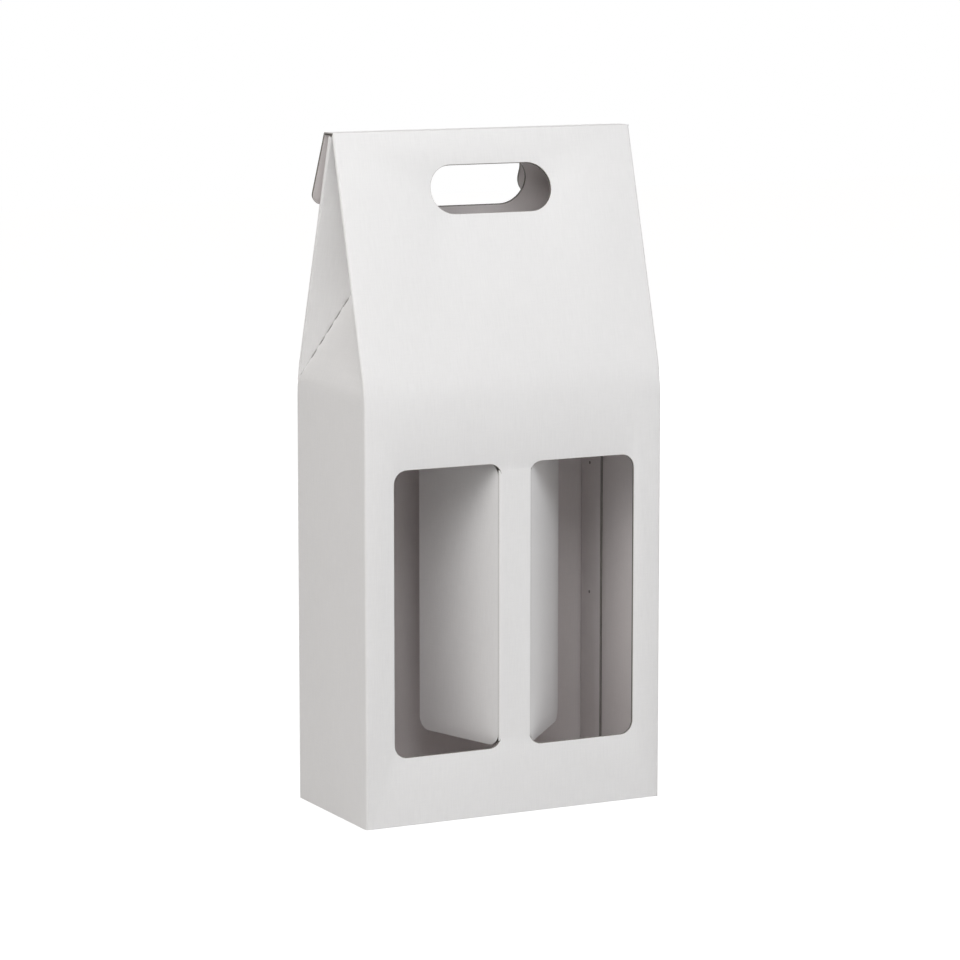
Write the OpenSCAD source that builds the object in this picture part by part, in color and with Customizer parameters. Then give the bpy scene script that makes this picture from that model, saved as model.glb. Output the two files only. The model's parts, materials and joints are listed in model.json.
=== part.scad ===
// Carrier box for two bottles, folded from one blank of thin corrugated board.
// Millimetres, +Z up, origin at the centre of the base, front wall towards -Y.

/* [Carton] */
// Width across the front, outside the board
box_w = 180; // [150:1:240]
// Depth from front to back, outside the board
box_d = 88; // [76:1:110]
// Overall height to the top of the ridge
box_h = 372; // [340:1:440]
// Height of the leaning part, from the shoulder crease to the top of the ridge
upper_h = 136.5; // [125:0.5:150]
// Front-to-back width of the ridge strip
ridge_d = 11.6; // [10:0.2:18]
// Thickness of the board
board_t = 1.5; // [1:0.1:2]

/* [Windows] */
// Width of the post between the windows
post_w = 17; // [12:0.5:40]
// Distance of the windows' upper edge below the shoulder crease
window_head = 41.4; // [25:0.1:80]
// Height of the windows' lower edge above the base
window_sill = 37.6; // [25:0.1:45]
// Distance of each window from the corner of the box
window_margin = 17; // [12:0.5:20]
// Corner radius of the windows
window_r = 7.5; // [2:0.5:12]
// Width of the cut round each window flap
window_kerf = 0.3; // [0.2:0.1:0.6]
// Angle by which the left window flap is folded in
flap_left_angle = 74; // [20:1:92]
// Angle by which the right window flap is folded in
flap_right_angle = 48.5; // [20:0.5:92]

/* [Hand slot] */
// Length of the front wall's hand slot
slot_w = 73; // [60:1:90]
// Length of the back wall's hand slot
back_slot_w = 66; // [60:1:90]
// Height of both hand slots
slot_h = 27; // [20:1:32]
// Distance down the front wall from the ridge crease to its slot
slot_drop = 19.35; // [15:0.05:30]
// Distance down the back wall from its top edge to its slot
back_slot_drop = 15.75; // [12:0.05:30]

/* [Lock flap] */
// Length of the lock flap from the ridge
lock_len = 44; // [38:1:60]
// Angle of the lock flap from vertical
lock_lean = 25.8; // [24:0.2:40]
// Angle by which the lock flap can be pressed in from where it hangs
lock_press_angle = 8; // [2:1:8]
// Corner radius at the lock flap's lower corners
lock_r = 7; // [2:0.5:12]
// Width of the lock flap's cut-out, which is open at its lower edge
lock_cut_w = 67; // [60:1:90]
// Distance from the ridge to the top of that cut-out
lock_cut_top = 16.5; // [12:0.5:20]
// Corner radius at the top of the cut-out
lock_cut_r = 10; // [4:0.5:12]
// Corner radius of the two lobes beside the cut-out's mouth
lock_lobe_r = 14; // [4:0.5:15]
// How far the back wall's top edge stays inside the ridge strip's back edge
lock_inset = 4.6; // [4.4:0.1:5.4]

/* [Gusset] */
// Distance of the gusset's apex below the ridge, measured up the slope
apex_drop = 36.5; // [30:0.5:45]
// Clearance on each side of the middle plane between folded gusset halves
gusset_gap = 0.15; // [0.1:0.05:0.3]
// Gap left where the gusset's panels meet along a crease
crease_gap = 0.3; // [0.2:0.05:0.6]

/* [Base and seam] */
// Width of the flap that is glued inside the right side wall
seam_w = 23; // [15:1:30]
// Length of the two bottom flaps from the side walls
bottom_flap_len = 42; // [30:1:60]
// Taper of those flaps at their free end
bottom_flap_taper = 8; // [4:1:16]
// Half the step in the line where the two large bottom panels interlock
bottom_step = 7; // [4:1:12]
// Relief of the large bottom panels at their unglued corner
bottom_relief = 3; // [1:0.5:8]

/* [Hidden] */
$fn = 48;

// Length by which a cutting body runs past what it cuts
overrun = 5;
// Clearance between two panels that face each other across a mitred crease
fold_gap = 0.05;
// Steps in the twist of each gusset half
twist_steps = 4;

board_white = [0.93, 0.93, 0.93];
board_inside = [0.78, 0.77, 0.76];

// Height of the shoulder crease, where the upper walls start to lean
wall_h = box_h - upper_h;

// Inner half width and half depth of the carton
inner_w = box_w / 2 - board_t;
inner_d = box_d / 2 - board_t;

// Lean and length of the front upper wall, on its outer face
front_lean = atan2(box_d / 2 - ridge_d / 2, upper_h);
front_len = norm([box_d / 2 - ridge_d / 2, upper_h]);

// The back upper wall ends just below the ridge strip, a little inside its back edge
back_run = box_d / 2 - ridge_d / 2 + lock_inset;
back_rise = upper_h - board_t - crease_gap;
back_lean = atan2(back_run, back_rise);
back_len = norm([back_run, back_rise]);

// Interior angles at the mitred creases, each at its most folded position
ridge_angle = 90 + front_lean;
lock_angle = 90 + lock_lean - lock_press_angle;

// Retreat of the inner edge of a mitred panel end, for half of the interior angle
function mitre(angle) = board_t / tan(angle / 2);

// The middle plane between the two upper walls tips a little, because they lean differently
mid_tip = (back_lean - front_lean) / 2;

// Gusset halves: width from the hinge line to the middle crease, and the height of their top edge
half_w = inner_d - gusset_gap;
half_top = back_len - crease_gap - board_t;

// Fold-in angle of a gusset half at height u, at which its outer corner meets the middle plane
function hinge_off(lean, tip) =
    -(box_d / 2 - board_t * cos(lean)) * cos(tip) - board_t * sin(lean) * sin(tip);
function reach(u, lean, tip) =
    (-gusset_gap - hinge_off(lean, tip) - u * sin(lean + tip)) / cos(lean + tip);
function fold_in(u, lean, tip) =
    atan2(board_t, half_w) + acos(reach(u, lean, tip) / norm([half_w, board_t]));

// Lean of the gusset's triangle, from where the halves put the apex
apex_up = upper_h - apex_drop;
apex_fold = fold_in(apex_up, front_lean, mid_tip);
apex_in = board_t + half_w * sin(apex_fold) - board_t * cos(apex_fold);
gusset_lean = asin(apex_in / apex_up);

// Trim of the gusset's panels along the diagonals, so that their faces clear at the fold
diagonal_trim = board_t + crease_gap;
diagonal_len = norm([half_w, apex_up]);

// Windows and their flaps
window_w = box_w / 2 - window_margin - post_w / 2;
window_h = wall_h - window_sill - window_head;
flap_w = window_w - window_kerf;
flap_h = window_h - 2 * window_kerf;

// Slot with round ends, centred on the origin
module slot(w, h) {
    square([w - h, h], center = true);
    translate([(h - w) / 2, 0]) circle(h / 2);
    translate([(w - h) / 2, 0]) circle(h / 2);
}

// Bar along X over the whole width, with its section given in the Y-Z plane
module bar(section) {
    translate([-box_w / 2, 0, 0]) rotate([90, 0, 90]) linear_extrude(box_w) polygon(section);
}

// Prism along Y with its outline in the X-Z plane, from the outer face of a panel inwards
module through_y(depth) {
    translate([0, depth + overrun, 0]) rotate([90, 0, 0]) linear_extrude(depth + 2 * overrun) children();
}

// Section of a standing panel: outer face on y = 0, inner face towards +Y, mitred at either end
function panel_section(height, low_mitre, high_mitre) = [
    [0, 0], [board_t, low_mitre], [board_t, height - high_mitre], [0, height]
];

// Lower walls

module wall_section(angle) {
    bar(panel_section(wall_h - fold_gap, 0, mitre(angle)));
}

// Straight-sided window with arcs in its corners
module window_outline() {
    difference() {
        square([window_w, window_h]);
        for (corner = [[0, 0], [window_w, 0], [0, window_h], [window_w, window_h]])
            translate(corner) corner_spandrel(window_r);
    }
}

// The square corner outside a round one, centred on the corner point
module corner_spandrel(r) {
    difference() {
        square(2 * r, center = true);
        for (x = [-r, r], y = [-r, r]) translate([x, y]) circle(r);
    }
}

module front_panel() {
    color(board_white) difference() {
        translate([0, -box_d / 2, 0]) wall_section(180 - front_lean);
        for (x = [window_margin - box_w / 2, post_w / 2])
            translate([x, -box_d / 2, window_sill]) through_y(board_t) window_outline();
    }
}

module back_panel() {
    color(board_white) rotate([0, 0, 180]) translate([0, -box_d / 2, 0]) wall_section(180 - back_lean);
}

// Side wall on the +X side, between the front and back walls
module side_wall() {
    color(board_white) rotate([0, 0, 90]) translate([-inner_d, -box_w / 2, 0])
        rotate([90, 0, 90]) linear_extrude(2 * inner_d)
            polygon(panel_section(wall_h - fold_gap, 0, mitre(180 - gusset_lean)));
}

module glue_flap() {
    low = 3 * board_t;
    top = wall_h - 2 * board_t;
    color(board_inside) translate([inner_w - board_t, inner_d - seam_w, low])
        cube([board_t, seam_w, top - low]);
}

// Self-erecting bottom: two large interlocking panels, each with a glued corner tab, under two flaps

module large_bottom() {
    reach_x = inner_d - bottom_step;
    color(board_white) linear_extrude(board_t) polygon([
        [-inner_w + crease_gap, -inner_d],
        [inner_w, -inner_d],
        [inner_w - bottom_relief, bottom_step - crease_gap / 2],
        [bottom_step, bottom_step - crease_gap / 2],
        [-bottom_step, -bottom_step - crease_gap / 2],
        [-inner_w + reach_x + crease_gap, -bottom_step - crease_gap / 2]
    ]);
}

module bottom_tab() {
    reach_x = inner_d - bottom_step;
    color(board_white) linear_extrude(board_t) polygon([
        [-inner_w, -inner_d],
        [-inner_w + reach_x, -bottom_step - crease_gap / 2],
        [-inner_w, -bottom_step - crease_gap / 2]
    ]);
}

module bottom_flap() {
    color(board_inside) translate([0, 0, board_t]) linear_extrude(board_t) polygon([
        [-inner_w, -inner_d + crease_gap],
        [-inner_w + bottom_flap_len, -inner_d + bottom_flap_taper],
        [-inner_w + bottom_flap_len, inner_d - bottom_flap_taper],
        [-inner_w, inner_d - crease_gap]
    ]);
}

// Upper walls

// Upper wall standing upright, outer face on y = 0, foot crease on the X axis
module upper_wall(length, lean, top_mitre, slot_length, drop) {
    color(board_white) difference() {
        translate([0, 0, fold_gap]) bar(panel_section(length - 2 * fold_gap, mitre(180 - lean), top_mitre));
        translate([0, 0, length - drop - slot_h / 2]) through_y(board_t) slot(slot_length, slot_h);
    }
}

module front_upper() {
    translate([0, -box_d / 2, wall_h]) rotate([-front_lean, 0, 0])
        upper_wall(front_len, front_lean, mitre(ridge_angle), slot_w, slot_drop);
}

module back_upper() {
    rotate([0, 0, 180]) translate([0, -box_d / 2, wall_h]) rotate([-back_lean, 0, 0])
        upper_wall(back_len, back_lean, 0, back_slot_w, back_slot_drop);
}

module ridge_strip() {
    color(board_white) bar([
        [-ridge_d / 2 + fold_gap, box_h],
        [-ridge_d / 2 + fold_gap + mitre(ridge_angle), box_h - board_t],
        [ridge_d / 2 - fold_gap - mitre(lock_angle), box_h - board_t],
        [ridge_d / 2 - fold_gap, box_h]
    ]);
}

// Outline of the lock flap, hanging down from the X axis
module lock_outline() {
    difference() {
        translate([-box_w / 2, -lock_len]) square([box_w, lock_len]);
        for (x = [-box_w / 2, box_w / 2]) translate([x, -lock_len]) corner_spandrel(lock_r);
        for (x = [-lock_cut_w / 2, lock_cut_w / 2]) translate([x, -lock_len]) corner_spandrel(lock_lobe_r);
        difference() {
            translate([-lock_cut_w / 2, -lock_len - overrun])
                square([lock_cut_w, lock_len - lock_cut_top + overrun]);
            for (x = [-lock_cut_w / 2, lock_cut_w / 2]) translate([x, -lock_cut_top]) corner_spandrel(lock_cut_r);
        }
    }
}

// The flap is cut from a bar whose upper end is mitred to the ridge strip
module lock_flap() {
    color(board_white) translate([0, ridge_d / 2, box_h]) rotate([lock_lean, 0, 0]) intersection() {
        translate([0, 0, -lock_len - overrun]) bar([
            [0, 0],
            [0, lock_len + overrun - fold_gap],
            [-board_t, lock_len + overrun - fold_gap - mitre(lock_angle)],
            [-board_t, 0]
        ]);
        through_y(board_t) lock_outline();
    }
}

// Gussets

// Triangle of the left gusset standing upright, outer face on x = 0, foot crease on the Y axis
module gusset_triangle() {
    base = inner_d - diagonal_trim * diagonal_len / apex_up;
    tip = apex_up - diagonal_trim * diagonal_len / half_w;
    foot = mitre(180 - gusset_lean);
    difference() {
        rotate([90, 0, 90]) linear_extrude(board_t) polygon([[-base, 0], [base, 0], [0, tip]]);
        translate([0, inner_d, 0]) rotate([90, 0, 0]) linear_extrude(2 * inner_d)
            polygon([[-overrun, -overrun], [board_t + overrun, -overrun], [board_t + overrun, foot + fold_gap],
                [board_t, foot + fold_gap], [0, fold_gap], [-overrun, fold_gap]]);
    }
}

module gusset_centre() {
    color(board_white) translate([-box_w / 2, 0, wall_h]) rotate([0, gusset_lean, 0]) gusset_triangle();
}

// A point of a gusset half: w from the hinge line, u up the slope, folded in by an angle, off the face
function half_point(w, u, fold, off) = [
    w * sin(fold) - off * cos(fold),
    w * cos(fold) + off * sin(fold),
    u
];

// Gusset half in the frame of its upper wall: hinge line on the Z axis, X along the wall, Y inwards.
// Its panel is a fan of rays from the foot of the hinge line, so it twists a little towards the top.
module gusset_half(lean, tip) {
    foot = diagonal_trim * diagonal_len / half_w;
    low = apex_up + foot;
    heights = [for (i = [0:twist_steps]) low + (half_top - low) * i / twist_steps];
    folds = [for (u = heights) fold_in(u, lean, tip)];
    last = folds[twist_steps];
    inner = concat(
        [half_point(0, foot, folds[0], 0)],
        [for (i = [0:twist_steps]) half_point(half_w, heights[i], folds[i], 0)],
        [half_point(0, half_top, last, 0)]
    );
    outer = concat(
        [half_point(0, foot, folds[0], board_t)],
        [for (i = [0:twist_steps]) half_point(half_w, heights[i], folds[i], board_t)],
        [half_point(0, half_top, last, board_t)]
    );
    count = len(inner);
    polyhedron(
        points = concat(inner, outer),
        faces = concat(
            [for (i = [1:count - 2]) [0, i + 1, i]],
            [for (i = [1:count - 2]) [count, count + i, count + i + 1]],
            [for (i = [0:count - 1]) [i, (i + 1) % count, count + i]],
            [for (i = [0:count - 1]) [(i + 1) % count, count + (i + 1) % count, count + i]]
        )
    );
}

// Left half beside the front upper wall
module gusset_front() {
    color(board_white) translate([-inner_w, -box_d / 2, wall_h]) rotate([-front_lean, 0, 0])
        translate([0, board_t + fold_gap, 0]) gusset_half(front_lean, mid_tip);
}

// Left half beside the back upper wall
module gusset_back() {
    color(board_white) mirror([0, 1, 0]) translate([-inner_w, -box_d / 2, wall_h]) rotate([-back_lean, 0, 0])
        translate([0, board_t + fold_gap, 0]) gusset_half(back_lean, -mid_tip);
}

// Window flap on the left of the post, hinged on the post's edge at the inner face
module window_flap(angle) {
    color(board_white) translate([-post_w / 2, -inner_d, window_sill + window_kerf]) rotate([0, 0, -angle])
        rotate([90, 0, 0]) linear_extrude(board_t) difference() {
            translate([-flap_w, 0]) square([flap_w - fold_gap, flap_h]);
            for (corner = [[-flap_w, 0], [-fold_gap, 0], [-flap_w, flap_h], [-fold_gap, flap_h]])
                translate(corner) corner_spandrel(window_r);
        }
}

front_panel();
back_panel();
mirror([1, 0, 0]) side_wall();  // left_side
side_wall();  // right_side
glue_flap();
large_bottom();  // bottom_front
rotate([0, 0, 180]) large_bottom();  // bottom_back
bottom_flap();  // bottom_left
rotate([0, 0, 180]) bottom_flap();  // bottom_right
bottom_tab();  // bottom_tab_left
rotate([0, 0, 180]) bottom_tab();  // bottom_tab_right
front_upper();
back_upper();
ridge_strip();
lock_flap();
gusset_centre();  // gusset_left_centre
gusset_front();  // gusset_left_front
gusset_back();  // gusset_left_back
mirror([1, 0, 0]) gusset_centre();  // gusset_right_centre
mirror([1, 0, 0]) gusset_front();  // gusset_right_front
mirror([1, 0, 0]) gusset_back();  // gusset_right_back
window_flap(flap_left_angle);  // window_flap_left
mirror([1, 0, 0]) window_flap(flap_right_angle);  // window_flap_right
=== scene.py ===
import json
from math import acos, asin, atan2, cos, hypot, pi, radians, sin, sqrt, tan

import bmesh
import bpy
import numpy as np
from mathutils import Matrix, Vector


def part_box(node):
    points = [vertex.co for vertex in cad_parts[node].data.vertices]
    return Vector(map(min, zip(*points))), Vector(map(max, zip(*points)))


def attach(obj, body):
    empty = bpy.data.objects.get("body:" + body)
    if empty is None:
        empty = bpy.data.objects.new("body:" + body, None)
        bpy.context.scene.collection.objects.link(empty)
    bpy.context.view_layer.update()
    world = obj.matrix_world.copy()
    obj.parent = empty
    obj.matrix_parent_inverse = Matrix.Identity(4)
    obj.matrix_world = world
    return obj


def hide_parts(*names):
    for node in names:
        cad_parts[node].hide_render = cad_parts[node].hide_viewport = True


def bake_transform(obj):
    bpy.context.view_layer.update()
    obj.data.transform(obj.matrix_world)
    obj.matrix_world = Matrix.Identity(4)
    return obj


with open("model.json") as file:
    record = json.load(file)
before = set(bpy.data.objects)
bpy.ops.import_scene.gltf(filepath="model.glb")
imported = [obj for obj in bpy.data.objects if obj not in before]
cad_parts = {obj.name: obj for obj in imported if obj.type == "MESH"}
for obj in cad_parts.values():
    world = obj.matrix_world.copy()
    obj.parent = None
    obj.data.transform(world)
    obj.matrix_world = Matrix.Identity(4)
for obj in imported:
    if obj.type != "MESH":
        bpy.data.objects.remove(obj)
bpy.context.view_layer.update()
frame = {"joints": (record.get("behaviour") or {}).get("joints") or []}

MM = 0.001

# Sizes in millimetres that the frame gives
JOINTS = {joint["name"]: joint for joint in frame["joints"]}
low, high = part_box("front_panel")
HALF_W = high.x / MM
HALF_D = -low.y / MM
BOARD = (high.y - low.y) / MM
SHOULDER = JOINTS["front_upper_fold"]["pos_m"][2] / MM
HEIGHT = JOINTS["ridge_strip_fold"]["pos_m"][2] / MM
RIDGE_D = 2 * JOINTS["lock_flap_fold"]["pos_m"][1] / MM
INNER_W = HALF_W - BOARD
INNER_D = HALF_D - BOARD
BACK_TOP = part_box("back_upper")[1].z / MM
POST_W = -2 * JOINTS["window_flap_left_fold"]["pos_m"][0] / MM

# Sizes in millimetres that repeat the construction's driving values
WINDOW_W = 64.5
WINDOW_H = 156.5
WINDOW_SILL = 37.6
WINDOW_R = 7.5
WINDOW_KERF = 0.3
SLOT_W = 73
BACK_SLOT_W = 66
SLOT_H = 27
SLOT_DROP = 19.35
BACK_SLOT_DROP = 15.75
LOCK_LEN = 44
LOCK_R = 7
LOCK_CUT_W = 67
LOCK_CUT_TOP = 16.5
LOCK_CUT_R = 10
LOCK_LOBE_R = 14
APEX_UP = 100
GUSSET_GAP = 0.15
FOLD_GAP = 0.05
CREASE_GAP = 0.3
SEAM_W = 23
SEAM_CREASE = 0.5
BOTTOM_FLAP_LEN = 42
BOTTOM_FLAP_TAPER = 8
BOTTOM_STEP = 7
BOTTOM_RELIEF = 3

# Angles in radians
LOCK_LEAN = radians(25.8)
LOCK_PRESS = radians(8)
FLAP_LEFT_OPEN = radians(74)
FLAP_RIGHT_OPEN = radians(48.5)
FRONT_LEAN = atan2(HALF_D - RIDGE_D / 2, HEIGHT - SHOULDER)
FRONT_LEN = hypot(HALF_D - RIDGE_D / 2, HEIGHT - SHOULDER)
BACK_AXIS = JOINTS["gusset_left_back_fold"]["axis"]
BACK_LEAN = atan2(abs(BACK_AXIS[1]), abs(BACK_AXIS[2]))
BACK_LEN = (BACK_TOP - SHOULDER) / cos(BACK_LEAN)

# How softly the board bends at the shoulder creases, as the length to each side of the crease,
# the distance between the levels that cut it there, and the samples of its curve
WALL_BEND = 14
SIDE_BEND = 6
BEND_STEP = 2
BEND_SAMPLES = 1600

# Rounding of cut edges and of the creases along the ridge and the base
CUT_ROUND = 0.2
CREASE_ROUND = 0.6

# The perforated diagonals of the gussets: cuts, the ties between them, and how wide a cut gapes
CUT_LEN = 5.2
TIE_LEN = 3.4
CUT_DEPTH = 0.7

# Steps of a corner's quarter arc and of a slot's half arc, across and up a gusset half, and round
# a bend, and the rounds that find a gusset half's top
ARC_STEPS = 10
SLOT_ARC_STEPS = 20
HALF_COLUMNS = 16
HALF_ROWS = 40
BEND_STEPS = 12
TOP_ROUNDS = 3

# A bend of the board has its outer face a hair inside the faces that it joins
BEND_R = 0.985 * BOARD
BEND_CORE_R = 0.3 * BOARD

# How far a window flap's bend reaches into its rounded corners, as a share of their radius
BEND_REACH_SHARE = 0.5
REACH_STEPS = 5

# The dark dots on the seam flap: size, and places as shares of the flap's width and height
DOT_R = 0.9
DOT_H = 0.12
DOT_SIDES = 24
DOT_ACROSS_SHARE = 0.45
DOT_UP_SHARES = (0.436, 0.763)

# Corners flatter than this, in the sine of their turn, step straight back
STRAIGHT_CORNER = 0.02
# Faces that meet at a sharper angle keep a hard edge
SMOOTH_ANGLE = radians(32)

CUT = "cut"
INNER = "inner"
OUTER = "outer"
SLOT_ORDER = [OUTER, CUT, INNER]

# Board colours, and the contrast of their grain
OUTER_COLOUR = (0.845, 0.842, 0.840)
OUTER_CONTRAST = 0.018
INNER_COLOUR = (0.765, 0.725, 0.72)
INNER_CONTRAST = 0.02

# Grain patterns: scale across and along the board, per metre, and detail
UPRIGHT_GRAIN = (1500, 90, 2)
LEVEL_GRAIN = (120, 1300, 2)
CLOUDS = (22, 16, 3)
GRAIN_RANGE = (0.3, 0.7)
GRAIN_ROUGHNESS = 0.6
CLOUD_CONTRAST = 0.008
BOARD_ROUGH = (0.56, 0.64)
BOARD_SPECULAR = 0.3
BOARD_BUMP = {"Strength": 0.25, "Distance": 0.00006}

# The cut edge's fluted core, with painted shade in the hollows between the flutes. Heights are shares
# of the board's thickness
FLUTE_PITCH = 0.0032
FLUTE_SHARES = (0.24, 0.76)
CORE_SHARES = (0.09, 0.16)
LINER_SHARES = (0.33, 0.38)
CORE_SHADOW = (0.05, 0.045, 0.04, 1)
CORE_PAPER = (0.42, 0.40, 0.38, 1)
CUT_ROUGH = 0.8
CUT_SPECULAR = 0.2
CUT_BUMP = {"Strength": 0.5, "Distance": 0.0002}

DOT_COLOUR = (0.24, 0.23, 0.22, 1)
DOT_ROUGH = 0.6

# Floor, and the world's light as the object gets it and as the camera sees it
FLOOR_SIZE = 8
FLOOR_BOUNCE = (0.78, 0.78, 0.78, 1)
FLOOR_SHADE = (0.30, 0.30, 0.30, 1)
FLOOR_GLOW = 0.9
AMBIENT = 0.33
AMBIENT_COLOUR = (1, 0.955, 0.93, 1)
WHITE = (1, 1, 1, 1)

# Soft round lamps: name, azimuth (0 in front, growing to the right) and elevation in degrees,
# distance and diameter in metres, power in watts, colour
LAMPS = (
    ("key", -27, 42, 1.3, 0.9, 4.95, (0.97, 0.985, 1)),
    ("side", -60, 38, 1.4, 0.7, 4.7, (1, 0.98, 0.95)),
    ("fill", 25, 36, 2, 0.9, 8.1, (0.935, 0.968, 1)),
    ("back", 150, 0, 2, 0.4, 4.5, (1, 1, 1)),
)
AIM_SHARE = 0.6

# The photo's camera
CAMERA_AZIMUTH = radians(-26.92)
CAMERA_PITCH = radians(8.571)
CAMERA_PLACE = (-0.95032, -1.87282, 0.49516)
FOCAL_PX = 3854.3
IMAGE_PX = 960
SENSOR_MM = 36


# Materials

def new_material(name):
    material = bpy.data.materials.new(name)
    material.use_nodes = True
    tree = material.node_tree
    tree.nodes.clear()
    output = tree.nodes.new("ShaderNodeOutputMaterial")
    shader = tree.nodes.new("ShaderNodeBsdfPrincipled")
    tree.links.new(shader.outputs["BSDF"], output.inputs["Surface"])
    return material, tree, shader


def add_node(tree, kind, values=(), **settings):
    node = tree.nodes.new(kind)
    for key, value in settings.items():
        setattr(node, key, value)
    for key, value in dict(values).items():
        node.inputs[key].default_value = value
    return node


def grain(tree, vector, pattern):
    """Noise with its own scale across and along the board."""
    across, along, detail = pattern
    mapping = add_node(tree, "ShaderNodeMapping", {"Scale": (across, along, 1)})
    tree.links.new(vector, mapping.inputs["Vector"])
    noise = add_node(tree, "ShaderNodeTexNoise",
                     {"Scale": 1, "Detail": detail, "Roughness": GRAIN_ROUGHNESS})
    tree.links.new(mapping.outputs["Vector"], noise.inputs["Vector"])
    return noise.outputs["Fac"]


def map_range(tree, value, span_in, span_out):
    node = add_node(tree, "ShaderNodeMapRange", {
        "From Min": span_in[0], "From Max": span_in[1], "To Min": span_out[0], "To Max": span_out[1]})
    tree.links.new(value, node.inputs["Value"])
    return node.outputs["Result"]


def contrast_map(tree, value, contrast):
    """Turns a grain's middle range into a factor around 1."""
    return map_range(tree, value, GRAIN_RANGE, (1 - contrast, 1 + contrast))


def maths(tree, operation, first, second=None):
    """A Math node: each input is a socket to link or a plain number."""
    node = add_node(tree, "ShaderNodeMath", operation=operation)
    for socket, value in zip(node.inputs, (first, second)):
        if isinstance(value, bpy.types.NodeSocket):
            tree.links.new(value, socket)
        elif value is not None:
            socket.default_value = value
    return node.outputs["Value"]


def add_bump(tree, shader, height, values):
    bump = add_node(tree, "ShaderNodeBump", values)
    tree.links.new(height, bump.inputs["Height"])
    tree.links.new(bump.outputs["Normal"], shader.inputs["Normal"])


def uv_axis(tree, uv_map):
    """The first coordinate of a UV map."""
    split = add_node(tree, "ShaderNodeSeparateXYZ")
    source = add_node(tree, "ShaderNodeUVMap", uv_map=uv_map)
    tree.links.new(source.outputs["UV"], split.inputs["Vector"])
    return split.outputs["X"]


def board_material(name, colour, contrast):
    """Board with a fine linen grain: short upright streaks crossed by fainter level ones."""
    material, tree, shader = new_material(name)
    vector = add_node(tree, "ShaderNodeUVMap", uv_map="face").outputs["UV"]
    upright = grain(tree, vector, UPRIGHT_GRAIN)
    level = grain(tree, vector, LEVEL_GRAIN)
    clouds = grain(tree, vector, CLOUDS)
    shade = maths(tree, "MULTIPLY", contrast_map(tree, upright, contrast),
                  contrast_map(tree, level, contrast / 2))
    shade = maths(tree, "MULTIPLY", shade, contrast_map(tree, clouds, CLOUD_CONTRAST))
    tint = add_node(tree, "ShaderNodeVectorMath", operation="SCALE")
    tint.inputs[0].default_value = colour
    tree.links.new(shade, tint.inputs["Scale"])
    tree.links.new(tint.outputs["Vector"], shader.inputs["Base Color"])
    tree.links.new(map_range(tree, upright, GRAIN_RANGE, BOARD_ROUGH), shader.inputs["Roughness"])
    shader.inputs["Specular IOR Level"].default_value = BOARD_SPECULAR
    add_bump(tree, shader, maths(tree, "ADD", upright, level), BOARD_BUMP)
    return material


def cut_material():
    """A cut edge of corrugated board: two liners with the fluted core between them."""
    material, tree, shader = new_material("board_cut")
    along = uv_axis(tree, "face")
    depth = uv_axis(tree, "depth")
    wave = maths(tree, "SINE", maths(tree, "MULTIPLY", along, 2 * pi / FLUTE_PITCH))
    flute = map_range(tree, wave, (-1, 1), FLUTE_SHARES)
    from_flute = maths(tree, "ABSOLUTE", maths(tree, "SUBTRACT", depth, flute))
    from_middle = maths(tree, "ABSOLUTE", maths(tree, "SUBTRACT", depth, 0.5))
    core = map_range(tree, from_flute, CORE_SHARES, (1, 0))
    liner = map_range(tree, from_middle, LINER_SHARES, (0, 1))
    paper = maths(tree, "MAXIMUM", core, liner)
    # Where there is neither flute nor liner, CORE_SHADOW paints the shade of the hollow channels
    mix = add_node(tree, "ShaderNodeMix", data_type="RGBA")
    mix.inputs["A"].default_value = CORE_SHADOW
    mix.inputs["B"].default_value = CORE_PAPER
    tree.links.new(paper, mix.inputs["Factor"])
    tree.links.new(mix.outputs["Result"], shader.inputs["Base Color"])
    shader.inputs["Roughness"].default_value = CUT_ROUGH
    shader.inputs["Specular IOR Level"].default_value = CUT_SPECULAR
    add_bump(tree, shader, paper, CUT_BUMP)
    return material


# Flat dark discs on the seam flap's inner face
def dot_material():
    material, tree, shader = new_material("dark_seam_dot")
    shader.inputs["Base Color"].default_value = DOT_COLOUR
    shader.inputs["Roughness"].default_value = DOT_ROUGH
    return material


MATERIALS = {
    OUTER: board_material("board_outer", OUTER_COLOUR, OUTER_CONTRAST),
    CUT: cut_material(),
    INNER: board_material("board_inner", INNER_COLOUR, INNER_CONTRAST),
}
DOT = dot_material()


# Edge profiles: how far a panel's edge steps back at each depth below its outer face

def cut_edge(depth):
    near = min(depth, BOARD - depth)
    if near >= CUT_ROUND:
        return 0
    return CUT_ROUND - sqrt(CUT_ROUND ** 2 - (CUT_ROUND - near) ** 2)


def round_edge(depth):
    return BOARD - sqrt(max(0, BOARD ** 2 - (BOARD - depth) ** 2))


def crease_edge(depth):
    if depth >= CREASE_ROUND:
        return 0
    return CREASE_ROUND - sqrt(CREASE_ROUND ** 2 - (CREASE_ROUND - depth) ** 2)


def butt_edge(depth):
    return 0


def mitre_edge(angle):
    def profile(depth):
        return FOLD_GAP + max(depth / tan(angle / 2), crease_edge(depth))
    return profile


RIDGE_MITRE = mitre_edge(pi / 2 + FRONT_LEAN)
LOCK_MITRE = mitre_edge(pi / 2 + LOCK_LEAN - LOCK_PRESS)
DEPTH_SHARES = (0, 0.03, 0.1, 0.2, 0.4, 0.7, 0.87, 0.96, 1)


# Outlines: each is a list of points (across, along, profile of the edge that starts there)

def arc(centre, r, start, end, profile, steps=ARC_STEPS):
    points = []
    for i in range(steps + 1):
        angle = radians(start + (end - start) * i / steps)
        points.append((centre[0] + r * cos(angle), centre[1] + r * sin(angle), profile))
    return points


def round_rectangle(left, bottom, right, top, r, profile):
    return (arc((right - r, bottom + r), r, -90, 0, profile)
            + arc((right - r, top - r), r, 0, 90, profile)
            + arc((left + r, top - r), r, 90, 180, profile)
            + arc((left + r, bottom + r), r, 180, 270, profile))


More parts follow.
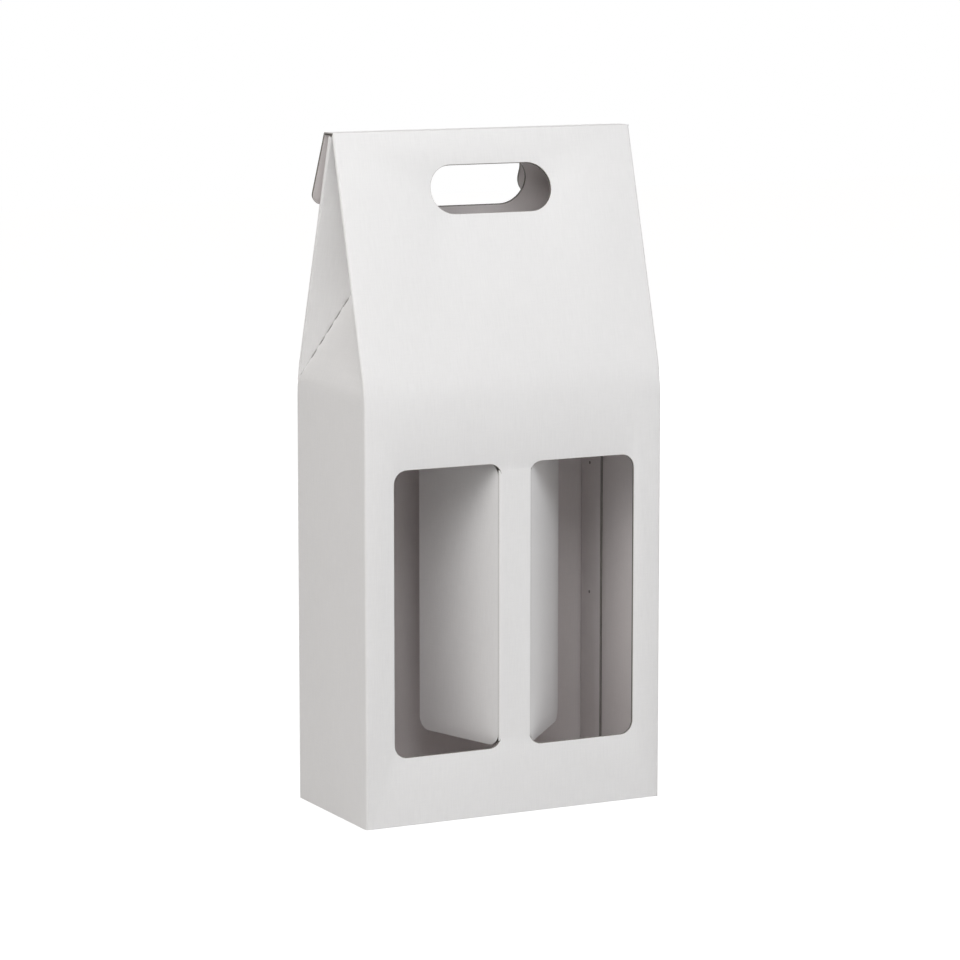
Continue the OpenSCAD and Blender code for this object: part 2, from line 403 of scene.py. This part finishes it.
def slot_outline(length, middle_along):
    r = SLOT_H / 2
    half = length / 2 - r
    return (arc((half, middle_along), r, -90, 90, cut_edge, SLOT_ARC_STEPS)
            + arc((-half, middle_along), r, 90, 270, cut_edge, SLOT_ARC_STEPS))


def edge_shift(before, after, inset_before, inset_after):
    """How a corner moves when its two edges step back, given their outward normals."""
    det = before[0] * after[1] - before[1] * after[0]
    if abs(det) < STRAIGHT_CORNER:
        return -before[0] * inset_before, -before[1] * inset_before
    a, b = -inset_before, -inset_after
    return (a * after[1] - b * before[1]) / det, (b * before[0] - a * after[0]) / det


def edge_normals(loop):
    """The outward normal of the edge that starts at each point."""
    normals = []
    for point, after in zip(loop, loop[1:] + loop[:1]):
        dx = after[0] - point[0]
        dy = after[1] - point[1]
        size = hypot(dx, dy)
        normals.append((dy / size, -dx / size))
    return normals


def loop_rings(bm, loop):
    """The loop at each depth of the board, its edges stepped back by their profiles."""
    normals = edge_normals(loop)
    rings = []
    for share in DEPTH_SHARES:
        depth = share * BOARD
        ring = []
        for i, (across, along, profile) in enumerate(loop):
            step = edge_shift(normals[i - 1], normals[i], loop[i - 1][2](depth), profile(depth))
            ring.append(bm.verts.new((across + step[0], along + step[1], depth)))
        rings.append(ring)
    return rings


def ring_edges(bm, ring):
    return [bm.edges.get(pair) for pair in zip(ring, ring[1:] + ring[:1])]


def panel(name, loops, place, levels=()):
    """A board panel from its outline and holes. Loops run anticlockwise outside and clockwise in
    holes, place puts a point (across, along, depth) in the frame, and levels cut the panel where
    it bends."""
    bm = bmesh.new()
    inner_edges = []
    outer_edges = []
    kinds = bm.faces.layers.int.new("kind")
    for loop in loops:
        count = len(loop)
        rings = loop_rings(bm, loop)
        for lower, upper in zip(rings, rings[1:]):
            for i in range(count):
                k = (i + 1) % count
                face = bm.faces.new((lower[i], lower[k], upper[k], upper[i]))
                face[kinds] = SLOT_ORDER.index(CUT if loop[i][2] is cut_edge else OUTER)
        outer_edges += ring_edges(bm, rings[0])
        inner_edges += ring_edges(bm, rings[-1])
    for edges, kind in ((outer_edges, OUTER), (inner_edges, INNER)):
        filled = bmesh.ops.triangle_fill(bm, edges=edges, use_beauty=True)
        for item in filled["geom"]:
            if isinstance(item, bmesh.types.BMFace):
                item[kinds] = SLOT_ORDER.index(kind)
    for level in levels:
        everything = bm.verts[:] + bm.edges[:] + bm.faces[:]
        bmesh.ops.bisect_plane(bm, geom=everything, plane_co=(0, level, 0), plane_no=(0, 1, 0))
    face_uv = bm.loops.layers.uv.new("face")
    depth_uv = bm.loops.layers.uv.new("depth")
    for face in bm.faces:
        face.material_index = face[kinds]
        face.smooth = True
        for corner in face.loops:
            co = corner.vert.co
            corner[face_uv].uv = (co.x * MM, co.y * MM)
            corner[depth_uv].uv = (co.z / BOARD, 0)
    for vert in bm.verts:
        vert.co = Vector(place(vert.co.x, vert.co.y, vert.co.z)) * MM
    return finish_mesh(name, bm)


def finish_mesh(name, bm):
    bmesh.ops.recalc_face_normals(bm, faces=bm.faces[:])
    mesh = bpy.data.meshes.new(name)
    bm.to_mesh(mesh)
    bm.free()
    for key in SLOT_ORDER:
        mesh.materials.append(MATERIALS[key])
    mesh.set_sharp_from_angle(angle=SMOOTH_ANGLE)
    piece = bpy.data.objects.new(name, mesh)
    bpy.context.scene.collection.objects.link(piece)
    return piece


# Walls

def wall_place(distance, lean, soft, turn):
    """Places a wall that stands at a distance from the middle and leans in above the shoulder,
    where it bends over the length soft to each side of the crease."""
    along = np.linspace(0, HEIGHT + soft, BEND_SAMPLES)
    share = np.clip((along - SHOULDER + soft) / (2 * soft), 0, 1)
    tilt = lean * share * share * (3 - 2 * share)
    between = (tilt[1:] + tilt[:-1]) / 2
    step = along[1] - along[0]
    inward = np.concatenate([[0], np.cumsum(np.sin(between)) * step])
    upward = np.concatenate([[0], np.cumsum(np.cos(between)) * step])
    c, s = cos(turn), sin(turn)

    def place(across, length, depth):
        angle = np.interp(length, along, tilt)
        y = -distance + np.interp(length, along, inward) + depth * cos(angle)
        z = np.interp(length, along, upward) - depth * sin(angle)
        return c * across - s * y, s * across + c * y, z
    return place


def bend_levels(soft):
    count = round(2 * soft / BEND_STEP)
    return [SHOULDER - soft + 2 * soft * i / count for i in range(count + 1)]


def wall_outline(top, top_edge):
    return [(-HALF_W, 0, crease_edge), (HALF_W, 0, round_edge),
            (HALF_W, top, top_edge), (-HALF_W, top, round_edge)]


def blend_wall(piece):
    """Bakes the wall's placement into its mesh."""
    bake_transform(piece)


def slot_hole(length, top, drop):
    return list(reversed(slot_outline(length, top - drop - SLOT_H / 2)))


def window_hole(left):
    """A window, whose edge at the post is where its flap is folded and so isn't cut."""
    outline = round_rectangle(left, WINDOW_SILL, left + WINDOW_W, WINDOW_SILL + WINDOW_H, WINDOW_R,
                              cut_edge)
    return [(x, v, butt_edge if abs(x) < POST_W / 2 + CUT_ROUND else edge)
            for x, v, edge in reversed(outline)]


def front_wall():
    top = SHOULDER + FRONT_LEN
    loops = [wall_outline(top, RIDGE_MITRE), slot_hole(SLOT_W, top, SLOT_DROP)]
    loops += [window_hole(left) for left in (-POST_W / 2 - WINDOW_W, POST_W / 2)]
    place = wall_place(HALF_D, FRONT_LEAN, WALL_BEND, 0)
    piece = panel("front_wall", loops, place, bend_levels(WALL_BEND))
    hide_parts("front_panel", "front_upper")
    blend_wall(piece)


def back_wall():
    top = SHOULDER + BACK_LEN
    loops = [wall_outline(top, cut_edge), slot_hole(BACK_SLOT_W, top, BACK_SLOT_DROP)]
    place = wall_place(HALF_D, BACK_LEAN, WALL_BEND, pi)
    piece = panel("back_wall", loops, place, bend_levels(WALL_BEND))
    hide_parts("back_panel", "back_upper")
    blend_wall(piece)


# Gussets

MID_TIP = (BACK_LEAN - FRONT_LEAN) / 2
HALF_PANEL_W = INNER_D - GUSSET_GAP


def fold_in(up, lean, tip):
    """Fold-in angle of a gusset half at a height up the slope, where it meets the middle plane."""
    base = -(HALF_D - BOARD * cos(lean)) * cos(tip) - BOARD * sin(lean) * sin(tip)
    reach = (-GUSSET_GAP - base - up * sin(lean + tip)) / cos(lean + tip)
    return atan2(BOARD, HALF_PANEL_W) + acos(reach / hypot(HALF_PANEL_W, BOARD))


APEX_FOLD = fold_in(APEX_UP, FRONT_LEAN, MID_TIP)
APEX_IN = BOARD + HALF_PANEL_W * sin(APEX_FOLD) - BOARD * cos(APEX_FOLD)
GUSSET_LEAN = asin(APEX_IN / APEX_UP)


def diagonal_ups(front):
    """How far up the slope a half's lowest line starts and ends: it lies in the triangle's plane."""
    lean, tip = gusset_leans(front)
    fold = fold_in(APEX_UP, lean, tip)
    ups = []
    for width in (0, HALF_PANEL_W):
        inward = BOARD + width * sin(fold) - BOARD * cos(fold)
        depth = width * cos(fold) + BOARD * sin(fold) + BOARD + FOLD_GAP
        ups.append((inward / tan(GUSSET_LEAN) + depth * sin(lean)) / cos(lean))
    return ups


def diagonal_ends(front):
    """The same line's ends in that plane: distance from the middle and height up its slope."""
    place, lean, tip = gusset_frame(1, front)
    fold = fold_in(APEX_UP, lean, tip)
    ends = []
    for width, up in zip((0, HALF_PANEL_W), diagonal_ups(front)):
        _, y, z = place(*half_point(width, up, fold, BOARD))
        ends.append((y, (z - SHOULDER) / cos(GUSSET_LEAN)))
    return ends


def perforated(start, end):
    """A diagonal edge from start to end, stepped back where it is cut and full at its ties."""
    length = hypot(end[0] - start[0], end[1] - start[1])
    direction = ((end[0] - start[0]) / length, (end[1] - start[1]) / length)
    inward = (-direction[1], direction[0])
    points = [(*start, cut_edge)]
    at = TIE_LEN
    while at + CUT_LEN + TIE_LEN < length:
        for along, depth in ((at, 0), (at, CUT_DEPTH), (at + CUT_LEN, CUT_DEPTH), (at + CUT_LEN, 0)):
            points.append((start[0] + direction[0] * along + inward[0] * depth,
                           start[1] + direction[1] * along + inward[1] * depth, cut_edge))
        at += CUT_LEN + TIE_LEN
    return points + [(*end, cut_edge)]


def side_wall(side):
    """A side wall with its gusset triangle, which bends inwards at the shoulder."""
    turn = side * pi / 2
    lines = []
    for front in (side < 0, side > 0):
        lines.append([(side * y, SHOULDER + up) for y, up in diagonal_ends(front)])
    rising, falling = lines[0], list(reversed(lines[1]))
    outline = [(-INNER_D, 0, butt_edge), (INNER_D, 0, butt_edge), (INNER_D, SHOULDER, butt_edge),
               *perforated(*rising), *perforated(*falling), (-INNER_D, SHOULDER, butt_edge)]
    name = "right" if side > 0 else "left"
    place = wall_place(HALF_W, GUSSET_LEAN, SIDE_BEND, turn)
    piece = panel(name + "_wall", [outline], place, bend_levels(SIDE_BEND))
    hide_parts(name + "_side", "gusset_" + name + "_centre")
    blend_wall(piece)


def gusset_leans(front):
    return (FRONT_LEAN, MID_TIP) if front else (BACK_LEAN, -MID_TIP)


def gusset_frame(side, front):
    """Puts a point given in an upper wall's own directions in the frame: x along the wall from its
    side edge, y inwards from its inner face, z up it."""
    lean, tip = gusset_leans(front)

    def place(x, y, z):
        depth = y + BOARD + FOLD_GAP
        across = side * (INNER_W - x)
        towards = -HALF_D + depth * cos(lean) + z * sin(lean)
        if not front:
            towards = -towards
        return across, towards, SHOULDER - depth * sin(lean) + z * cos(lean)
    return place, lean, tip


def half_point(width, up, fold, off):
    return width * sin(fold) - off * cos(fold), width * cos(fold) + off * sin(fold), up


def half_sheet(bm, front, place, off, flat):
    """One face of a gusset half as columns of points, each kept in flat by its place on the blank."""
    foot, low_up = diagonal_ups(front)
    sheet = []
    for i in range(HALF_COLUMNS + 1):
        width = HALF_PANEL_W * i / HALF_COLUMNS
        low_end = foot + (low_up - foot) * i / HALF_COLUMNS
        top_up = half_top(width, front)
        column = []
        for j in range(HALF_ROWS + 1):
            up = low_end + (top_up - low_end) * j / HALF_ROWS
            point = half_point(width, up, half_fold(up, front), off)
            vert = bm.verts.new(Vector(place(*point)) * MM)
            flat[vert] = (width, up, off)
            column.append(vert)
        sheet.append(column)
    return sheet


def sheet_rim(sheet):
    return ([column[0] for column in sheet] + sheet[-1][1:]
            + [column[-1] for column in reversed(sheet[:-1])] + list(reversed(sheet[0][1:-1])))


def gusset_half(side, front):
    """A gusset half. Its level lines run straight from its hinge line to the middle crease, and it
    twists above the apex."""
    place, _, _ = gusset_frame(side, front)
    bm = bmesh.new()
    face_uv = bm.loops.layers.uv.new("face")
    depth_uv = bm.loops.layers.uv.new("depth")
    flat = {}
    sheets = [half_sheet(bm, front, place, off, flat) for off in (0, BOARD)]
    for sheet, kind in zip(sheets, (INNER, OUTER)):
        for a, b in zip(sheet, sheet[1:]):
            for j in range(HALF_ROWS):
                face = bm.faces.new((a[j], b[j], b[j + 1], a[j + 1]))
                face.material_index = SLOT_ORDER.index(kind)
    rims = [sheet_rim(sheet) for sheet in sheets]
    count = len(rims[0])
    for i in range(count):
        k = (i + 1) % count
        face = bm.faces.new((rims[0][i], rims[0][k], rims[1][k], rims[1][i]))
        face.material_index = SLOT_ORDER.index(CUT)
    for face in bm.faces:
        face.smooth = True
        for corner in face.loops:
            across, along, off = flat[corner.vert]
            corner[face_uv].uv = (across * MM, along * MM)
            corner[depth_uv].uv = (1 - off / BOARD, 0)
    name = f"gusset_{'right' if side > 0 else 'left'}_{'front' if front else 'back'}"
    piece = finish_mesh(name + "_panel", bm)
    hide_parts(name)
    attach(piece, name)

    def rim(radius, share, along):
        angle = share * half_fold(along, front)
        return place(-cos(angle) * radius, sin(angle) * radius, along)
    top_up = half_top(0, front)
    bend(name + "_bend", name, rim, [(top_up * i / HALF_ROWS, 0) for i in range(HALF_ROWS + 1)])


def half_top(width, front):
    """How far up the slope a gusset half ends, just below the ridge strip. The fold at that height
    counts too, so it is found in rounds."""
    lean, _ = gusset_leans(front)
    level = HEIGHT - BOARD - CREASE_GAP - SHOULDER
    up = BACK_LEN
    for _ in range(TOP_ROUNDS):
        depth = width * cos(half_fold(up, front)) + BOARD + FOLD_GAP
        up = (level + depth * sin(lean)) / cos(lean)
    return up


def half_fold(up, front):
    """Fold-in angle of a gusset half: even up to the apex, then changing as the walls close in."""
    lean, tip = gusset_leans(front)
    return fold_in(max(up, APEX_UP), lean, tip)


def bend(name, body, rim, levels):
    """The round bend of the board at a crease. rim puts a point (radius, share of the turn, along)
    in the frame. Each level is a place along the crease and the share at which the bend starts."""
    bm = bmesh.new()
    face_uv = bm.loops.layers.uv.new("face")
    rows = []
    flat = {}
    rising = range(BEND_STEPS + 1)
    for along, first in levels:
        row = []
        for radius, order in ((BEND_R, rising), (BEND_CORE_R, reversed(rising))):
            for j in order:
                share = first + (1 - first) * j / BEND_STEPS
                vert = bm.verts.new(Vector(rim(radius, share, along)) * MM)
                flat[vert] = (radius * share, along)
                row.append(vert)
        rows.append(row)
    count = len(rows[0])
    for lower, upper in zip(rows, rows[1:]):
        for j in range(count):
            k = (j + 1) % count
            bm.faces.new((lower[j], lower[k], upper[k], upper[j]))
    bm.faces.new(rows[0])
    bm.faces.new(rows[-1])
    for face in bm.faces:
        face.smooth = True
        for corner in face.loops:
            corner[face_uv].uv = [value * MM for value in flat[corner.vert]]
    piece = finish_mesh(name, bm)
    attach(piece, body)


# Ridge, lock flap and window flaps

def ridge_strip():
    outline = [(-HALF_W, 0, RIDGE_MITRE), (HALF_W, 0, cut_edge),
               (HALF_W, RIDGE_D, LOCK_MITRE), (-HALF_W, RIDGE_D, cut_edge)]
    piece = panel("ridge", [outline], lambda x, v, depth: (x, v - RIDGE_D / 2, HEIGHT - depth))
    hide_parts("ridge_strip")
    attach(piece, "ridge_strip")


def lock_flap():
    """Its outline is drawn with the ridge on top: along runs up to it from the flap's lower edge."""
    half = LOCK_CUT_W / 2
    cut_top = LOCK_LEN - LOCK_CUT_TOP
    outline = [(HALF_W, LOCK_LEN, LOCK_MITRE), (-HALF_W, LOCK_LEN, cut_edge)]
    outline += arc((-HALF_W + LOCK_R, LOCK_R), LOCK_R, 180, 270, cut_edge)
    outline += arc((-half - LOCK_LOBE_R, LOCK_LOBE_R), LOCK_LOBE_R, -90, 0, cut_edge)
    outline += arc((-half + LOCK_CUT_R, cut_top - LOCK_CUT_R), LOCK_CUT_R, 180, 90, cut_edge)
    outline += arc((half - LOCK_CUT_R, cut_top - LOCK_CUT_R), LOCK_CUT_R, 90, 0, cut_edge)
    outline += arc((half + LOCK_LOBE_R, LOCK_LOBE_R), LOCK_LOBE_R, 180, 270, cut_edge)
    outline += arc((HALF_W - LOCK_R, LOCK_R), LOCK_R, 270, 360, cut_edge)
    hinge = Vector((0, RIDGE_D / 2, HEIGHT))
    down = Vector((0, sin(LOCK_LEAN), -cos(LOCK_LEAN)))
    inward = Vector((0, -cos(LOCK_LEAN), -sin(LOCK_LEAN)))

    def place(x, v, depth):
        return Vector((x, 0, 0)) + hinge + down * (LOCK_LEN - v) + inward * depth
    piece = panel("lock", [outline], place)
    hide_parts("lock_flap")
    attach(piece, "lock_flap")


def window_flap(side, angle):
    width = WINDOW_W - WINDOW_KERF
    height = WINDOW_H - 2 * WINDOW_KERF
    outline = round_rectangle(FOLD_GAP, 0, width, height, WINDOW_R, cut_edge)
    hinge = Vector((side * POST_W / 2, -INNER_D, WINDOW_SILL + WINDOW_KERF))
    along = Vector((side * cos(angle), sin(angle), 0))
    outward = Vector((side * sin(angle), -cos(angle), 0))

    def place(x, v, depth):
        return hinge + along * x + outward * (BOARD - depth) + Vector((0, 0, v))
    name = "window_flap_" + ("right" if side > 0 else "left")
    piece = panel(name + "_panel", [outline], place)
    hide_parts(name)
    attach(piece, name)

    def rim(radius, share, v):
        turn = angle * share
        return side * (POST_W / 2 + radius * sin(turn)), -INNER_D - radius * cos(turn), v
    ends = []
    for i in range(REACH_STEPS + 1):
        past = BEND_REACH_SHARE * WINDOW_R * i / REACH_STEPS
        ends.append((past, (WINDOW_R - sqrt(WINDOW_R ** 2 - past ** 2)) / (BEND_R * angle)))
    low_end, high_end = WINDOW_SILL + WINDOW_R, WINDOW_SILL + WINDOW_H - WINDOW_R
    levels = [(low_end - past, first) for past, first in reversed(ends)]
    levels += [(high_end + past, first) for past, first in ends]
    bend(name + "_bend", name, rim, levels)


# Seam and bottom

def glue_flap():
    low_z = 3 * BOARD
    high_z = SHOULDER - 2 * BOARD
    far = SEAM_W - SEAM_CREASE
    outline = [(x, z, cut_edge) for x, z in ((0, low_z), (far, low_z), (far, high_z), (0, high_z))]
    piece = panel("seam", [outline], lambda x, v, depth: (INNER_W - depth, INNER_D - SEAM_W + x, v))
    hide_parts("glue_flap")
    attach(piece, "carton")
    for index, share in enumerate(DOT_UP_SHARES):
        bpy.ops.mesh.primitive_cylinder_add(vertices=DOT_SIDES, radius=DOT_R * MM, depth=DOT_H * MM)
        dot = bpy.context.object
        dot.name = f"dark_seam_dot_{index}"
        dot.rotation_euler = (0, pi / 2, 0)
        dot.location = Vector((INNER_W - BOARD, INNER_D - SEAM_W * DOT_ACROSS_SHARE,
                               low_z + (high_z - low_z) * share)) * MM
        dot.data.materials.append(DOT)
        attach(dot, "carton")


def bottom_piece(name, node_name, points, turned, level):
    sign = -1 if turned else 1
    outline = [(x, y, cut_edge) for x, y in points]
    piece = panel(name, [outline], lambda x, y, depth: (sign * x, sign * y, level + depth))
    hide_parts(node_name)
    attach(piece, "carton")


def bottom():
    reach_x = INNER_D - BOTTOM_STEP
    near = -BOTTOM_STEP - CREASE_GAP / 2
    far = BOTTOM_STEP - CREASE_GAP / 2
    large = [(-INNER_W + CREASE_GAP, -INNER_D), (INNER_W, -INNER_D), (INNER_W - BOTTOM_RELIEF, far),
             (BOTTOM_STEP, far), (-BOTTOM_STEP, near), (-INNER_W + reach_x + CREASE_GAP, near)]
    tab = [(-INNER_W, -INNER_D), (-INNER_W + reach_x, near), (-INNER_W, near)]
    flap_end = -INNER_W + BOTTOM_FLAP_LEN
    flap = [(-INNER_W, CREASE_GAP - INNER_D), (flap_end, BOTTOM_FLAP_TAPER - INNER_D),
            (flap_end, INNER_D - BOTTOM_FLAP_TAPER), (-INNER_W, INNER_D - CREASE_GAP)]
    for turned, wall, end in ((False, "front", "left"), (True, "back", "right")):
        bottom_piece("base_" + wall, "bottom_" + wall, large, turned, 0)
        bottom_piece("base_tab_" + end, "bottom_tab_" + end, tab, turned, 0)
        bottom_piece("base_flap_" + end, "bottom_" + end, flap, turned, BOARD)


# Floor, light and camera

def seen_rays(tree):
    """1 for the rays that show the background: from the camera, and through glass or off gloss."""
    path = tree.nodes.new("ShaderNodeLightPath")
    seen = maths(tree, "MAXIMUM", path.outputs["Is Camera Ray"], path.outputs["Is Transmission Ray"])
    return maths(tree, "MAXIMUM", seen, path.outputs["Is Glossy Ray"])


def floor():
    """A floor that looks white but keeps the box's shadow, and bounces light as a pale floor does."""
    bpy.ops.mesh.primitive_plane_add(size=FLOOR_SIZE, location=(0, 0, 0))
    ground = bpy.context.object
    ground.name = "floor"
    material = bpy.data.materials.new("floor")
    material.use_nodes = True
    tree = material.node_tree
    tree.nodes.clear()
    output = tree.nodes.new("ShaderNodeOutputMaterial")
    bounce = add_node(tree, "ShaderNodeBsdfDiffuse", {"Color": FLOOR_BOUNCE})
    shaded = add_node(tree, "ShaderNodeBsdfDiffuse", {"Color": FLOOR_SHADE})
    glow = add_node(tree, "ShaderNodeEmission", {"Color": WHITE, "Strength": FLOOR_GLOW})
    both = tree.nodes.new("ShaderNodeAddShader")
    mix = tree.nodes.new("ShaderNodeMixShader")
    tree.links.new(shaded.outputs["BSDF"], both.inputs[0])
    tree.links.new(glow.outputs["Emission"], both.inputs[1])
    tree.links.new(seen_rays(tree), mix.inputs["Fac"])
    tree.links.new(bounce.outputs["BSDF"], mix.inputs[1])
    tree.links.new(both.outputs["Shader"], mix.inputs[2])
    tree.links.new(mix.outputs["Shader"], output.inputs["Surface"])
    ground.data.materials.append(material)


def world_light():
    world = bpy.data.worlds.new("studio")
    bpy.context.scene.world = world
    world.use_nodes = True
    tree = world.node_tree
    tree.nodes.clear()
    output = tree.nodes.new("ShaderNodeOutputWorld")
    background = tree.nodes.new("ShaderNodeBackground")
    seen = seen_rays(tree)
    colour = add_node(tree, "ShaderNodeMix", data_type="RGBA")
    colour.inputs["A"].default_value = AMBIENT_COLOUR
    colour.inputs["B"].default_value = WHITE
    tree.links.new(seen, colour.inputs["Factor"])
    tree.links.new(colour.outputs["Result"], background.inputs["Color"])
    tree.links.new(map_range(tree, seen, (0, 1), (AMBIENT, 1)), background.inputs["Strength"])
    tree.links.new(background.outputs["Background"], output.inputs["Surface"])


def lamp(name, azimuth, elevation, distance, size, power, colour):
    light = bpy.data.lights.new(name, "AREA")
    light.shape = "DISK"
    light.size = size
    light.energy = power
    light.color = colour
    holder = bpy.data.objects.new(name, light)
    bpy.context.scene.collection.objects.link(holder)
    turn, rise = radians(azimuth), radians(elevation)
    away = Vector((sin(turn) * cos(rise), -cos(turn) * cos(rise), sin(rise)))
    holder.location = Vector((0, 0, HEIGHT * MM * AIM_SHARE)) + away * distance
    holder.rotation_euler = (-away).to_track_quat("-Z", "Y").to_euler()


def camera():
    data = bpy.data.cameras.new("camera")
    data.sensor_width = SENSOR_MM
    data.lens = FOCAL_PX / IMAGE_PX * SENSOR_MM
    eye = bpy.data.objects.new("camera", data)
    bpy.context.scene.collection.objects.link(eye)
    eye.location = CAMERA_PLACE
    level = cos(CAMERA_PITCH)
    forward = Vector((-sin(CAMERA_AZIMUTH) * level, cos(CAMERA_AZIMUTH) * level, -sin(CAMERA_PITCH)))
    eye.rotation_euler = forward.to_track_quat("-Z", "Y").to_euler()
    bpy.context.scene.camera = eye


camera()
front_wall()
back_wall()
for side_sign in (-1, 1):
    side_wall(side_sign)
    for is_front in (True, False):
        gusset_half(side_sign, is_front)
ridge_strip()
lock_flap()
window_flap(-1, FLAP_LEFT_OPEN)
window_flap(1, FLAP_RIGHT_OPEN)
glue_flap()
bottom()
floor()
world_light()
for values in LAMPS:
    lamp(*values)
bpy.context.scene.view_settings.view_transform = "Standard"
